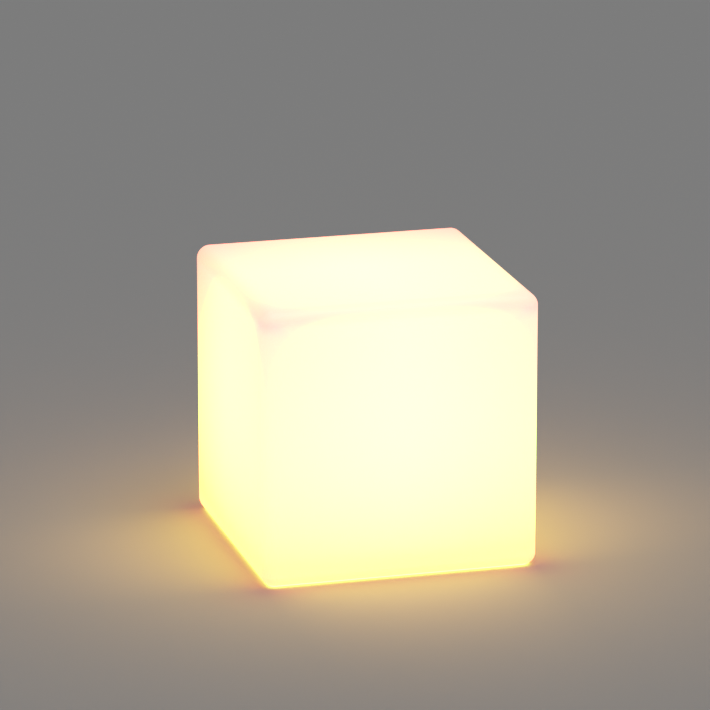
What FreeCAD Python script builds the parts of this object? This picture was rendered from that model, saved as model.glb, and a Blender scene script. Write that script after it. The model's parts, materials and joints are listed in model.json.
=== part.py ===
import FreeCAD, Part
import math
import os

# Glowing cube lamp for gardens and terraces, in millimetres.
#
# A rotomoulded polyethylene cube with thick, rounded edges stands on a raised land round its underside. A
# tapered recess in the underside ends in a flange with moulded-in brass inserts, and the light unit is
# screwed up against that flange. The light unit is a moulded tub: cells, control board, push button and
# charging socket are in it, and on top of it a heat spreader carries rings of light-emitting diodes under a
# sealed dome, which throws their light up into the cube.
#
# +Z is up, the cube's sides face X and Y, and the origin is on the ground under the middle of the cube.

# ---------------------------------------------------------------- the cube
side = 400.0                # outside, along each side
edge_radius = 19.0          # outside rounding of every edge and corner
wall = 4.0                  # polyethylene, on the flat faces
inner_edge_radius = 24.0    # larger than edge_radius - wall: rotomoulding fills the corners
land_width = 24.0           # flat border that the cube stands on, inside the edge's rounding
panel_depth = 1.5           # how far the rest of the underside is set in
panel_corner_radius = 30.0

# ---------------------------------------------------------------- the recess in the underside
recess_depth = 14.0
recess_draft = 6.0          # degrees
recess_corner_radius = 4.0  # round the recess's ceiling
mouth_radius = 2.5          # rounding of the recess's mouth
recess_gap = 3.0            # round the cover
insert_count = 6
insert_turn = 30.0          # degrees, of the first insert
insert_radius = 3.5
insert_length = 9.0
insert_head = 0.8           # thickness of the insert's head
insert_head_margin = 0.9    # how much wider the head is
insert_meat = 4.5           # polyethylene round the insert
insert_cap = 3.0            # polyethylene above the insert
insert_boss_rounding = 2.5
insert_boss_draft = 4.0     # degrees

# ---------------------------------------------------------------- bought-in pieces
cell_radius = 9.2
cell_length = 65.2
cell_tip_radius = 3.0
cell_tip_length = 1.0
cell_crimp_depth = 0.5
cell_crimp_width = 1.6
cell_crimp_inset = 2.4      # from the cell's tip end to the crimp
strip_thickness = 0.3
strip_height = 5.0
strip_tab_width = 3.0
strip_tab_proud = 1.0       # above the control board
strip_gap = 0.5             # below the control board
board_width = 32.0
board_thickness = 1.6
board_corner_radius = 3.0
switch_width = 8.0
switch_height = 7.0
switch_pin_width = 0.7
switch_pin_proud = 1.2      # above the control board
plunger_width = 3.2
plunger_gap = 0.1           # round the plunger in the switch
plunger_engagement = 2.0    # of the plunger in the switch, at rest
socket_thread_radius = 5.5
socket_length = 13.0        # from its flange to its back
socket_flange_radius = 7.0
socket_flange = 1.5
socket_bore_radius = 3.15   # takes a 5.5 mm plug
socket_bore_depth = 9.5
socket_pin_radius = 1.05    # enters the plug's hole
socket_pin_recess = 1.0
socket_tag_length = 2.6
socket_tag_width = 2.2
socket_tag_thickness = 0.5
socket_tag_spacing = 5.0
socket_lead_run = 6.6       # sideways, from a tag to where its wire turns up
nut_across_flats = 14.0
nut_height = 2.4

# ---------------------------------------------------------------- the control board's components
inductor_radius = 4.5
inductor_height = 4.2
inductor_core_radius = 2.2
capacitor_radius = 3.15
capacitor_height = 8.0
chip_length = 5.0
chip_width = 4.0
chip_height = 1.5
component_inset = 7.0       # from the control board's long edges to the components along them
chips_x = (-8.0, 9.0)
inductor_x = 1.0
capacitor_x = 9.0
connector_x = 24.0
connector_length = 7.5
connector_width = 5.5
connector_height = 5.0
connector_wall = 0.8
diode_width = 2.0
diode_height = 0.8

# ---------------------------------------------------------------- the light unit's housing
cover_wall = 3.0            # its floor and flange
tub_wall = 3.0
tub_draft = 1.0             # degrees, inside the tub
tub_clearance = 1.5         # round what the tub holds
opening_gap = 2.0           # between the tub and the edge of the cube's opening
cover_margin = 9.0          # of the flange, beyond its screws
cover_chamfer = 1.0
cover_gasket_thickness = 1.5
hole_gap = 0.25             # radial, round every screw shank and stem
board_cell_gap = 1.8        # between the control board and a cell, seen from above
cradle_lift = 2.0           # of the cells above the floor
cradle_width = 6.0
cradle_wall = 1.8
cradle_gap = 0.2            # round a cell, and beyond its strips
cradle_share = 0.75         # of the cell's radius that the cradle reaches up
boss_radius = 3.8
boss_bite = 0.8             # how far a boss runs into the tub's wall
post_radius = 3.0           # under the control board
post_inset = 4.5            # from the control board's edges
post_gap = 2.5              # between a post and the cells' strips
post_rib_width = 1.6        # of the ribs from the posts to the tub's wall
post_rib_share = 0.6        # of the post's height
component_gap = 1.0         # above the tallest component and the socket's tags
foam_thickness = 3.0        # at least, above the cells
foam_width = 10.0
foam_share = 0.6            # of the cell's length
foam_gap = 0.1              # round a cell

# ---------------------------------------------------------------- button
button_x = -20.0
button_radius = 7.0
button_gap = 0.3            # round the button in its sleeve
button_proud = 1.5          # below the cover
button_travel = 1.5
button_wall = 1.4
button_flange = 1.2         # thickness
button_flange_margin = 1.6  # how far the flange covers the sleeve's end
button_rest_gap = 0.1       # between that flange and the sleeve's end
button_stem_radius = 2.4    # pushes the plunger
button_dish_depth = 0.6
button_dish_margin = 1.2
sleeve_height = 4.0
sleeve_wall = 2.0
guard_width = 1.8           # raised ring round the button
guard_height = 0.8
seal_section_radius = 0.75
seal_gap = 0.05             # between the O-ring and the sleeve
switch_margin = 0.5         # left above the button's stem when it is fully in

# ---------------------------------------------------------------- charging socket, cap and indicator
socket_x = 20.0
socket_seal_thickness = 0.8
cap_thickness = 2.0
cap_margin = 1.5            # of the cap beyond the socket's flange
cap_rounding = 0.7
cap_rest_gap = 0.1          # between the cap and the socket's flange
cap_plug_radius = 2.7
cap_plug_hole_radius = 1.8
cap_plug_length = 2.5
cap_tongue_width = 5.0
cap_tongue_length = 3.5
cap_hinge_distance = 12.0   # from the socket's axis to the hinge pin
cap_arm_width = 5.0
cap_arm_thickness = 1.2
cap_barrel_radius = 1.1     # round the hinge pin
cap_pin_radius = 0.6
cap_pin_gap = 0.05          # round the pin in the barrel
ear_radius = 1.4            # of the anchor's two ears, which hold the pin
ear_width = 1.5
ear_gap = 0.15              # between an ear and the barrel
anchor_length = 6.0         # from the pin to the anchor's far end
anchor_plate = 1.5
anchor_stem_radius = 1.6
anchor_barb = 1.0           # what the barb adds to the stem's radius, and its height
indicator_y = -10.0
indicator_radius = 2.4
indicator_flange = 1.0      # thickness, and what it adds to the radius
indicator_proud = 0.4
indicator_gap = 0.4         # below the diode

# ---------------------------------------------------------------- heat spreader, diodes and dome
plate_thickness = 2.0
plate_gasket_thickness = 1.0
thermal_pad_thickness = 0.5
dome_gasket_thickness = 1.0
dome_flange = 2.5
dome_wall = 2.0
dome_straight = 4.0         # upright part above the flange
dome_rise = 20.0
dome_gap = 1.5              # between the dome and its screws' heads
led_board_thickness = 1.6
led_size = 5.0
led_height = 1.6
led_lens_radius = 2.0
led_lens_depth = 0.4
led_ring_counts = (12, 6)
led_edge_margin = 9.0       # from the outer ring to the board's edge
led_ring_pitch = 13.5
led_screw_count = 3
led_screw_turn = 60.0       # degrees, of the first screw
grommet_radius = 2.9        # in the heat spreader's hole
grommet_lip = 0.8           # thickness, and what it adds to the radius
grommet_gap = 0.6           # between the grommet and the board, and the dome
lead_radius = 0.75
lead_spacing = 2.2
lead_bend_share = 0.45      # of a straight run that its bend may take
lead_arch = 3.5             # of the wires above the diode board
led_pad_inset = 2.6         # from the diode board's edge
solder_height = 0.5

# ---------------------------------------------------------------- screws
# shank radius, length, head radius, height
cover_screw = (2.0, 12.0, 4.0, 2.4)
dome_screw = (1.5, 12.0, 2.8, 2.0)
board_screw = (1.1, 8.0, 2.1, 1.4)
led_screw = (1.5, 4.0, 2.8, 1.5)
pilot_gap = 0.05            # radial, round a screw in its own hole
pan_crown_share = 0.55      # crowned part of the head's height
drive_depth_share = 0.5     # of the head's height
drive_reach_share = 1.1     # of the head's radius
drive_width_share = 0.26    # of the head's radius

# ================================================================ worked out from the values above
recess_ceiling = recess_depth
recess_slope = math.tan(math.radians(recess_draft))
cover_top = recess_ceiling - cover_gasket_thickness
cover_bottom = cover_top - cover_wall

sleeve_radius = button_radius + button_gap
sleeve_outer_radius = max(sleeve_radius + sleeve_wall, sleeve_radius + button_flange_margin)
sleeve_top = cover_top + sleeve_height
button_bottom = cover_bottom - button_proud
button_shoulder = sleeve_top + button_rest_gap
button_top = button_shoulder + button_flange
seal_pitch = sleeve_radius - seal_gap - seal_section_radius
seal_z = (cover_bottom + sleeve_top) / 2

socket_face = cover_bottom - socket_seal_thickness - socket_flange
socket_back = socket_face + socket_flange + socket_length
socket_tag_top = socket_back + socket_tag_length
cell_y = board_width / 2 + board_cell_gap + cell_radius
cell_z = cover_top + cradle_lift + cell_radius
cell_top = cell_z + cell_radius
board_bottom = max(
    button_top + button_travel + switch_margin + switch_height,
    socket_tag_top + component_gap,
    cell_z + strip_height / 2 + strip_gap,
)
board_top = board_bottom + board_thickness
switch_bottom = board_bottom - switch_height

strip_x = (cell_length + cell_tip_length) / 2
post_x = strip_x + strip_thickness + post_gap + post_radius
board_length = 2 * (post_x + post_inset)
cradle_end = strip_x + strip_thickness + cradle_gap + cradle_wall
cradle_corner = math.hypot(cradle_end, cell_y + cell_radius / 2)
cell_corner = math.hypot(strip_x, cell_y + cell_radius)
board_corner = board_length / 2 + 2 * boss_radius
tub_inner_radius = max(cell_corner, cradle_corner, board_corner) + tub_clearance
tub_radius = tub_inner_radius + tub_wall
boss_pitch = tub_inner_radius - boss_radius + boss_bite
rim_z = max(cell_top + foam_thickness, board_top + capacitor_height + component_gap) - plate_gasket_thickness
plate_bottom = rim_z + plate_gasket_thickness
plate_top = plate_bottom + plate_thickness

opening_radius = tub_radius + opening_gap
insert_boss_radius = insert_radius + insert_meat
insert_boss_top = recess_ceiling + insert_length + insert_cap
insert_pitch = opening_radius + insert_boss_radius
cover_radius = insert_pitch + cover_margin
recess_radius = cover_radius + recess_gap + recess_corner_radius

dome_radius = boss_pitch - dome_screw[2] - dome_gap
dome_inner_radius = dome_radius - dome_wall
grommet_pitch = dome_inner_radius - grommet_gap - grommet_radius - grommet_lip
led_board_radius = grommet_pitch - grommet_radius - grommet_lip - grommet_gap
led_board_bottom = plate_top + thermal_pad_thickness
led_board_top = led_board_bottom + led_board_thickness
dome_bottom = plate_top + dome_gasket_thickness
dome_flange_top = dome_bottom + dome_flange

cap_top = socket_face - cap_rest_gap
cap_radius = socket_flange_radius + cap_margin
hinge_x = socket_x + cap_hinge_distance
hinge_z = cap_top - cap_arm_thickness / 2
anchor_width = cap_arm_width + 2 * (ear_gap + ear_width)
stem_x = hinge_x + anchor_length - anchor_stem_radius - anchor_barb


# ================================================================ helpers
nearly = 0.001              # two measures that differ by less than this are the same


def vec(x, y, z):
    return FreeCAD.Vector(x, y, z)


def moved(shape, x=0.0, y=0.0, z=0.0):
    copy = shape.copy()
    copy.translate(vec(x, y, z))
    return copy


def turned(shape, degrees, axis=(0, 0, 1)):
    copy = shape.copy()
    copy.rotate(vec(0, 0, 0), vec(*axis), degrees)
    return copy


def disc(radius, low, high, x=0.0, y=0.0):
    return Part.makeCylinder(radius, high - low, vec(x, y, low))


def ring(outer, inner, low, high, x=0.0, y=0.0):
    return disc(outer, low, high, x, y).cut(disc(inner, low, high, x, y))


def rod(radius, length, y, z):
    """A cylinder along X, centred on x = 0."""
    return Part.makeCylinder(radius, length, vec(-length / 2, y, z), vec(1, 0, 0))


def cross_rod(radius, length, x, z, y=0.0):
    """A cylinder along Y, centred on y."""
    return Part.makeCylinder(radius, length, vec(x, y - length / 2, z), vec(0, 1, 0))


def block(x_size, y_size, low, high, x=0.0, y=0.0):
    """A box centred on x and y, between two heights."""
    return Part.makeBox(x_size, y_size, high - low, vec(x - x_size / 2, y - y_size / 2, low))


def polar(count, radius, start=0.0):
    """Points evenly spaced on a circle about the Z axis, from a start angle in degrees."""
    turns = [math.radians(start) + 2 * math.pi * k / count for k in range(count)]
    return [(radius * math.cos(turn), radius * math.sin(turn)) for turn in turns]


def fused(*shapes):
    return shapes[0].multiFuse(list(shapes[1:])).removeSplitter()


def drilled(shape, cutters):
    return shape.cut(Part.makeCompound(cutters))


def upright_edges(shape):
    return [edge for edge in shape.Edges if abs(edge.tangentAt(edge.FirstParameter).z) > 1.0 - nearly]


def edges_at(shape, height):
    """The edges that lie in the level plane at that height."""
    spans = [(edge, edge.BoundBox) for edge in shape.Edges]
    return [edge for edge, box in spans if max(abs(box.ZMin - height), abs(box.ZMax - height)) < nearly]


def circles_at(shape, height, radius):
    """The circular edges of that radius at that height."""
    level = [edge for edge in edges_at(shape, height) if isinstance(edge.Curve, Part.Circle)]
    return [edge for edge in level if abs(edge.Curve.Radius - radius) < nearly]


def rounded_plate(x_size, y_size, low, high, radius, x=0.0, y=0.0):
    """A plate whose four upright edges are rounded."""
    plate = block(x_size, y_size, low, high, x, y)
    return plate.makeFillet(radius, upright_edges(plate))


def rounded_disc(radius, low, high, rounding, x=0.0, y=0.0):
    """A disc whose lower edge is rounded."""
    plain = disc(radius, low, high, x, y)
    return plain.makeFillet(rounding, circles_at(plain, low, radius))


def revolved(points):
    """A solid of revolution about Z.

    A step is a point (radius, z), or an arc: a point passed and the point reached.
    """
    edges = []
    here = points[0]
    for step in points[1:] + points[:1]:
        if isinstance(step[0], tuple):
            through, there = step
            passed = [vec(r, 0, z) for r, z in (here, through, there)]
            edges.append(Part.Arc(*passed).toShape())
        else:
            there = step
            edges.append(Part.makeLine(vec(here[0], 0, here[1]), vec(there[0], 0, there[1])))
        here = there
    return Part.Face(Part.Wire(edges)).revolve(vec(0, 0, 0), vec(0, 0, 1), 360)


def tapered_form(radius, low, high, draft, rounding):
    """A round form with drafted sides and a rounded upper edge.

    The radius is the side's at the top, if it weren't rounded.
    """
    lean = math.radians(draft)
    centre_r = radius - rounding * (1 - math.sin(lean)) / math.cos(lean)
    centre_z = high - rounding
    side_end = (centre_r + rounding * math.cos(lean), centre_z + rounding * math.sin(lean))
    halfway = (math.pi / 2 + lean) / 2
    through = (centre_r + rounding * math.cos(halfway), centre_z + rounding * math.sin(halfway))
    foot = (radius + (high - low) * math.tan(lean), low)
    return revolved([(0.0, low), foot, side_end, (through, (centre_r, high)), (0.0, high)])


def cap_arc(radius, low, rise):
    """The steps of a profile that close a crown of that rise over the Z axis."""
    sphere = (radius**2 + rise**2) / (2 * rise)
    centre_z = low + rise - sphere
    halfway = math.asin(radius / sphere) / 2
    through = (sphere * math.sin(halfway), centre_z + sphere * math.cos(halfway))
    return [(radius, low), (through, (0.0, low + rise))]


def screw(sizes):
    """A pan-head screw with a cross recess. Its head is above z = 0 and its shank points down."""
    shank, length, head, height = sizes
    crown = pan_crown_share * height
    pan = revolved([(0.0, 0.0), (head, 0.0)] + cap_arc(head, height - crown, crown))
    slot = block(head * drive_reach_share, head * drive_width_share, height * (1 - drive_depth_share), height)
    thread = disc(shank, shank - length, 0.0)
    point = Part.makeCone(shank / 2, shank, shank, vec(0, 0, -length))
    return fused(drilled(pan, [slot, turned(slot, 90)]), thread, point)


def screws_down(sizes, places, height):
    """One screw at each place, with its head's seat at that height and its shank below it."""
    return [moved(screw(sizes), x, y, height) for x, y in places]


def screws_up(sizes, places, height):
    """One screw at each place, with its head's seat at that height and its shank above it."""
    return [moved(turned(screw(sizes), 180, (1, 0, 0)), x, y, height) for x, y in places]


def pilots(sizes, places, low, high):
    return [disc(sizes[0] + pilot_gap, low, high, x, y) for x, y in places]


def clearance_holes(sizes, places, low, high):
    return [disc(sizes[0] + hole_gap, low, high, x, y) for x, y in places]


def wire_route(points):
    """Straight runs joined by tangent arcs, each as wide as the shorter of its two runs allows."""
    edges = []
    start = points[0]
    for before, corner, after in zip(points, points[1:], points[2:]):
        back = (before - corner).normalize()
        ahead = (after - corner).normalize()
        trim = lead_bend_share * min((before - corner).Length, (after - corner).Length)
        half_angle = back.getAngle(ahead) / 2
        inward = (back + ahead).normalize()
        middle = corner + inward * (trim / math.cos(half_angle) - trim * math.tan(half_angle))
        leave, rejoin = corner + back * trim, corner + ahead * trim
        edges.append(Part.makeLine(start, leave))
        edges.append(Part.Arc(leave, middle, rejoin).toShape())
        start = rejoin
    edges.append(Part.makeLine(start, points[-1]))
    return Part.Wire(edges)


def lead(*places):
    """A wire along a route through these places."""
    points = [vec(*place) for place in places]
    section = Part.Wire(Part.makeCircle(lead_radius, points[0], points[1] - points[0]))
    return wire_route(points).makePipeShell([section], True, False)


NODES = {}


def node(name, *solids):
    """Keeps one sub-part: one solid, or several alike."""
    NODES[name] = Part.makeCompound([solid for shape in solids for solid in shape.Solids])


# ================================================================ places
insert_places = polar(insert_count, insert_pitch, insert_turn)
boss_places = polar(insert_count, boss_pitch)
post_y = board_width / 2 - post_inset
post_places = [(x, y) for x in (-post_x, post_x) for y in (-post_y, post_y)]
board_edge_y = board_width / 2 - component_inset
chip_places = [(chips_x[0], -board_edge_y), (chips_x[0], board_edge_y), (chips_x[1], board_edge_y)]
led_outer_ring = led_board_radius - led_edge_margin
led_ring_radii = [led_outer_ring - k * led_ring_pitch for k in range(len(led_ring_counts))]
led_places = []
for count, radius in zip(led_ring_counts, led_ring_radii):
    led_places += polar(count, radius, 180.0 / count)
led_screw_places = polar(led_screw_count, sum(led_ring_radii) / len(led_ring_radii), led_screw_turn)


# ================================================================ the cube
def underside_panel(high):
    """Fills the set-in middle of the underside, up to that height above the panel's own level."""
    width = side - 2 * (edge_radius + land_width)
    top = panel_depth + high
    panel = rounded_plate(width, width, -panel_depth, top, panel_corner_radius)
    return panel.makeChamfer(panel_depth, edges_at(panel, top))


def recess_form(grow):
    """The recess, or with grow the outside of its wall in the cube."""
    lean = grow / math.cos(math.radians(recess_draft)) - grow * recess_slope
    return tapered_form(
        recess_radius + lean, -grow, recess_ceiling + grow, recess_draft, recess_corner_radius + grow
    )


outside = block(side, side, 0.0, side)
outside = outside.makeFillet(edge_radius, outside.Edges)
hollow = block(side - 2 * wall, side - 2 * wall, wall, side - wall)
hollow = hollow.makeFillet(inner_edge_radius, hollow.Edges)
insert_boss = tapered_form(
    insert_boss_radius, recess_ceiling, insert_boss_top, insert_boss_draft, insert_boss_rounding
)
insert_bosses = [moved(insert_boss, x, y) for x, y in insert_places]
hollow = drilled(hollow, [underside_panel(wall), recess_form(wall)] + insert_bosses)
shell = outside.cut(underside_panel(0.0)).cut(recess_form(0.0))
mouth = recess_radius + (recess_ceiling - panel_depth) * recess_slope
shell = shell.makeFillet(mouth_radius, circles_at(shell, panel_depth, mouth))
shell = drilled(shell, [hollow, disc(opening_radius, 0.0, insert_boss_top)])
insert = fused(
    disc(insert_radius, recess_ceiling, recess_ceiling + insert_length),
    disc(insert_radius + insert_head_margin, recess_ceiling, recess_ceiling + insert_head),
)
shell = drilled(shell, [moved(insert, x, y) for x, y in insert_places])
node("cube_shell", shell)

thread_end = recess_ceiling + insert_length - insert_head
threaded = drilled(insert, pilots(cover_screw, [(0.0, 0.0)], 0.0, thread_end))
node("threaded_inserts", *[moved(threaded, x, y) for x, y in insert_places])

# ================================================================ the housing
flange = disc(cover_radius, cover_bottom, cover_top)
flange = flange.makeChamfer(cover_chamfer, circles_at(flange, cover_bottom, cover_radius))
tub_depth = rim_z - cover_top
tub_floor_radius = tub_inner_radius - tub_depth * math.tan(math.radians(tub_draft))
tub_hollow = Part.makeCone(tub_floor_radius, tub_inner_radius, tub_depth, vec(0, 0, cover_top))
tub = disc(tub_radius, cover_top, rim_z).cut(tub_hollow)
bosses = [disc(boss_radius, cover_top, rim_z, x, y) for x, y in boss_places]

cell_room = 2 * (strip_x + strip_thickness + cradle_gap)
cell_rooms = [rod(cell_radius + cradle_gap, cell_room, y, cell_z) for y in (-cell_y, cell_y)]
cradle_x = cell_length / 2 - cradle_width
cradle_span = 2 * (cell_radius + cradle_gap + cradle_wall)
cradle_top = cell_z - cell_radius * (1 - cradle_share)
cradles = []
for y in (-cell_y, cell_y):
    for x in (-cradle_x, cradle_x):
        cradles.append(block(cradle_width, cradle_span, cover_top, cradle_top, x, y))
    for x in (-1, 1):
        stop_x = x * (cradle_end - cradle_wall / 2)
        cradles.append(block(cradle_wall, cell_radius, cover_top, cell_z, stop_x, y))
    spine_top = cover_top + cradle_lift + cradle_gap
    cradles.append(block(2 * cradle_end, cradle_wall, cover_top, spine_top, 0.0, y))

posts = [disc(post_radius, cover_top, board_bottom, x, y) for x, y in post_places]
rib_top = cover_top + post_rib_share * (board_bottom - cover_top)
rib_end = math.sqrt(tub_inner_radius**2 - post_y**2) + tub_wall / 2
post_ribs = [
    block(rib_end - post_x, post_rib_width, cover_top, rib_top, math.copysign((rib_end + post_x) / 2, x), y)
    for x, y in post_places
]
sleeve = disc(sleeve_outer_radius, cover_top, sleeve_top, button_x)
guard = ring(sleeve_radius + guard_width, sleeve_radius, cover_bottom - guard_height, cover_bottom, button_x)

anchor_top = cover_top + anchor_barb
housing = fused(flange, tub, sleeve, guard, *bosses, *cradles, *posts, *post_ribs)
housing = housing.common(disc(cover_radius, 0.0, cover_top).fuse(disc(tub_radius, cover_top, rim_z)))
housing = drilled(
    housing,
    cell_rooms
    + [disc(sleeve_radius, 0.0, sleeve_top, button_x)]
    + [disc(socket_thread_radius + hole_gap, 0.0, socket_back, socket_x)]
    + [disc(indicator_radius + pilot_gap, 0.0, board_bottom, 0.0, indicator_y)]
    + [disc(anchor_stem_radius + pilot_gap, 0.0, board_bottom, stem_x)]
    + clearance_holes(cover_screw, insert_places, 0.0, cover_top)
    + pilots(board_screw, post_places, board_top - board_screw[1] - component_gap, board_bottom)
    + pilots(dome_screw, boss_places, dome_flange_top - dome_screw[1] - component_gap, rim_z),
)
node("base_cover", housing)

node("cover_gasket", drilled(
    ring(cover_radius, opening_radius, cover_top, recess_ceiling),
    clearance_holes(cover_screw, insert_places, cover_top, recess_ceiling),
))
node("cover_screws", *screws_up(cover_screw, insert_places, cover_bottom))

# ================================================================ the button and its switch
button_barrel = disc(button_radius, button_bottom, button_shoulder, button_x)
dish_radius = button_radius - button_dish_margin
dish = revolved([(0.0, 0.0)] + cap_arc(dish_radius, 0.0, button_dish_depth))
groove_radius = seal_pitch - seal_section_radius
seal_groove = ring(
    button_radius, groove_radius, seal_z - seal_section_radius, seal_z + seal_section_radius, button_x
)
core_bottom = button_bottom + button_dish_depth + button_wall
core = ring(groove_radius - button_wall, button_stem_radius, core_bottom, button_top, button_x)
button = fused(
    button_barrel, disc(sleeve_radius + button_flange_margin, button_shoulder, button_top, button_x)
)
node("power_button", drilled(button, [moved(dish, button_x, z=button_bottom), seal_groove, core]))
node("button_seal", moved(Part.makeTorus(seal_pitch, seal_section_radius), button_x, z=seal_z))
node("switch_plunger", block(
    plunger_width, plunger_width, button_top, switch_bottom + plunger_engagement, button_x
))

plunger_room = plunger_engagement + button_travel + switch_margin
pin_reach = (switch_width - switch_pin_width) / 2
pins = [
    block(switch_pin_width, switch_pin_width, board_bottom, board_top + switch_pin_proud, button_x + x, y)
    for x in (-pin_reach, pin_reach) for y in (-pin_reach, pin_reach)
]
plunger_hole = plunger_width + 2 * plunger_gap
switch = block(switch_width, switch_width, switch_bottom, board_bottom, button_x)
switch = switch.cut(block(plunger_hole, plunger_hole, switch_bottom, switch_bottom + plunger_room, button_x))
node("switch_body", fused(switch, *pins))

# ================================================================ the charging socket, its cap, the indicator
socket = fused(
    disc(socket_flange_radius, socket_face, socket_face + socket_flange, socket_x),
    disc(socket_thread_radius, socket_face, socket_back, socket_x),
)
socket = drilled(socket, [
    ring(socket_bore_radius, socket_pin_radius, socket_face, socket_face + socket_bore_depth, socket_x),
    disc(socket_pin_radius, socket_face, socket_face + socket_pin_recess, socket_x),
])
tags_x = [socket_x - socket_tag_spacing / 2, socket_x + socket_tag_spacing / 2]
tags = [block(socket_tag_thickness, socket_tag_width, socket_back, socket_tag_top, x) for x in tags_x]
node("charging_socket", fused(socket, *tags))
node("socket_seal", ring(
    socket_flange_radius, socket_thread_radius, socket_face + socket_flange, cover_bottom, socket_x
))
nut_corners = [vec(x, y, 0) for x, y in polar(6, nut_across_flats / math.sqrt(3))]
nut = Part.Face(Part.makePolygon(nut_corners + nut_corners[:1])).extrude(vec(0, 0, nut_height))
node("socket_nut", moved(nut, socket_x, z=cover_top).cut(
    disc(socket_thread_radius, cover_top, cover_top + nut_height, socket_x)
))

cap_bottom = cap_top - cap_thickness
arm_bottom = cap_top - cap_arm_thickness
cap = fused(
    rounded_disc(cap_radius, cap_bottom, cap_top, cap_rounding, socket_x),
    block(2 * cap_tongue_length, cap_tongue_width, arm_bottom, cap_top, socket_x - cap_radius),
    block(cap_hinge_distance, cap_arm_width, arm_bottom, cap_top, (hinge_x + socket_x) / 2),
    ring(cap_plug_radius, cap_plug_hole_radius, cap_top, cap_top + cap_plug_length, socket_x),
    cross_rod(cap_barrel_radius, cap_arm_width, hinge_x, hinge_z),
)
node("port_cap", cap.cut(cross_rod(cap_pin_radius + cap_pin_gap, cap_arm_width, hinge_x, hinge_z)))
node("cap_pin", cross_rod(cap_pin_radius, anchor_width, hinge_x, hinge_z))

ear_y = (anchor_width - ear_width) / 2
ears = []
for y in (-ear_y, ear_y):
    ears.append(cross_rod(ear_radius, ear_width, hinge_x, hinge_z, y))
    ears.append(block(2 * ear_radius, ear_width, hinge_z, cover_bottom, hinge_x, y))
anchor = fused(
    rounded_plate(
        anchor_length + ear_radius, anchor_width, cover_bottom - anchor_plate, cover_bottom, ear_radius,
        hinge_x + (anchor_length - ear_radius) / 2,
    ),
    disc(anchor_stem_radius, cover_bottom, anchor_top, stem_x),
    Part.makeCone(
        anchor_stem_radius + anchor_barb, anchor_stem_radius, anchor_barb, vec(stem_x, 0, cover_top)
    ),
    *ears,
)
node("cap_anchor", anchor.cut(cross_rod(cap_pin_radius, anchor_width, hinge_x, hinge_z)))
indicator_bottom = cover_bottom - indicator_proud
indicator_top = board_bottom - diode_height - indicator_gap
indicator_shoulder = cover_top + indicator_flange
node("charge_indicator", fused(
    disc(indicator_radius, indicator_bottom, indicator_top, 0.0, indicator_y),
    disc(indicator_radius + indicator_flange, cover_top, indicator_shoulder, 0.0, indicator_y),
))

# ================================================================ the control board
board = rounded_plate(board_length, board_width, board_bottom, board_top, board_corner_radius)
strip_middle = strip_x + strip_thickness / 2
strip_slots = [
    block(strip_thickness + 2 * hole_gap, strip_tab_width + 2 * hole_gap, board_bottom, board_top, x)
    for x in (-strip_middle, strip_middle)
]
pin_holes = [pin.common(block(side, side, board_bottom, board_top)) for pin in pins]
node("control_board", drilled(
    board, strip_slots + pin_holes + clearance_holes(board_screw, post_places, board_bottom, board_top)
))
node("board_screws", *screws_down(board_screw, post_places, board_top))
chip_top = board_top + chip_height
node("board_chips", *[block(chip_length, chip_width, board_top, chip_top, x, y) for x, y in chip_places])
coil = ring(inductor_radius, inductor_core_radius, board_top, board_top + inductor_height, inductor_x, 0.0)
node("board_inductor", coil)
capacitor_top = board_top + capacitor_height
node("board_capacitor", disc(capacitor_radius, board_top, capacitor_top, capacitor_x, -board_edge_y))
connector_top = board_top + connector_height
connector_hollow = block(
    connector_length - connector_wall, connector_width - 2 * connector_wall,
    board_top + connector_wall, connector_top - connector_wall, connector_x + connector_wall,
)
node("led_connector", block(
    connector_length, connector_width, board_top, connector_top, connector_x
).cut(connector_hollow))
node("status_diode", block(
    diode_width, diode_width, board_bottom - diode_height, board_bottom, 0.0, indicator_y
))

# ================================================================ the cells
cell_profile = [
    (0.0, 0.0), (cell_radius, 0.0), (cell_radius, cell_length - cell_crimp_inset - cell_crimp_width),
    (cell_radius - cell_crimp_depth, cell_length - cell_crimp_inset - cell_crimp_width / 2),
    (cell_radius, cell_length - cell_crimp_inset), (cell_radius, cell_length),
    (cell_tip_radius, cell_length), (cell_tip_radius, cell_length + cell_tip_length),
    (0.0, cell_length + cell_tip_length),
]
cell = turned(revolved(cell_profile), 90, (0, 1, 0))
node("battery_cells", *[moved(cell, -strip_x, y, cell_z) for y in (-cell_y, cell_y)])
strip_reach = 2 * (cell_y + cell_tip_radius)
strips = []
for x in (-strip_middle, strip_middle):
    band = block(strip_thickness, strip_reach, cell_z - strip_height / 2, cell_z + strip_height / 2, x)
    tab = block(strip_thickness, strip_tab_width, cell_z, board_top + strip_tab_proud, x)
    strips.append(fused(band, tab))
node("cell_strips", *strips)
pads = []
for y in (-cell_y, cell_y):
    foam = block(foam_share * cell_length, foam_width, cell_z, plate_bottom, 0.0, y)
    pads.append(foam.cut(rod(cell_radius + foam_gap, side, y, cell_z)))
node("cell_pads", *pads)

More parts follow.
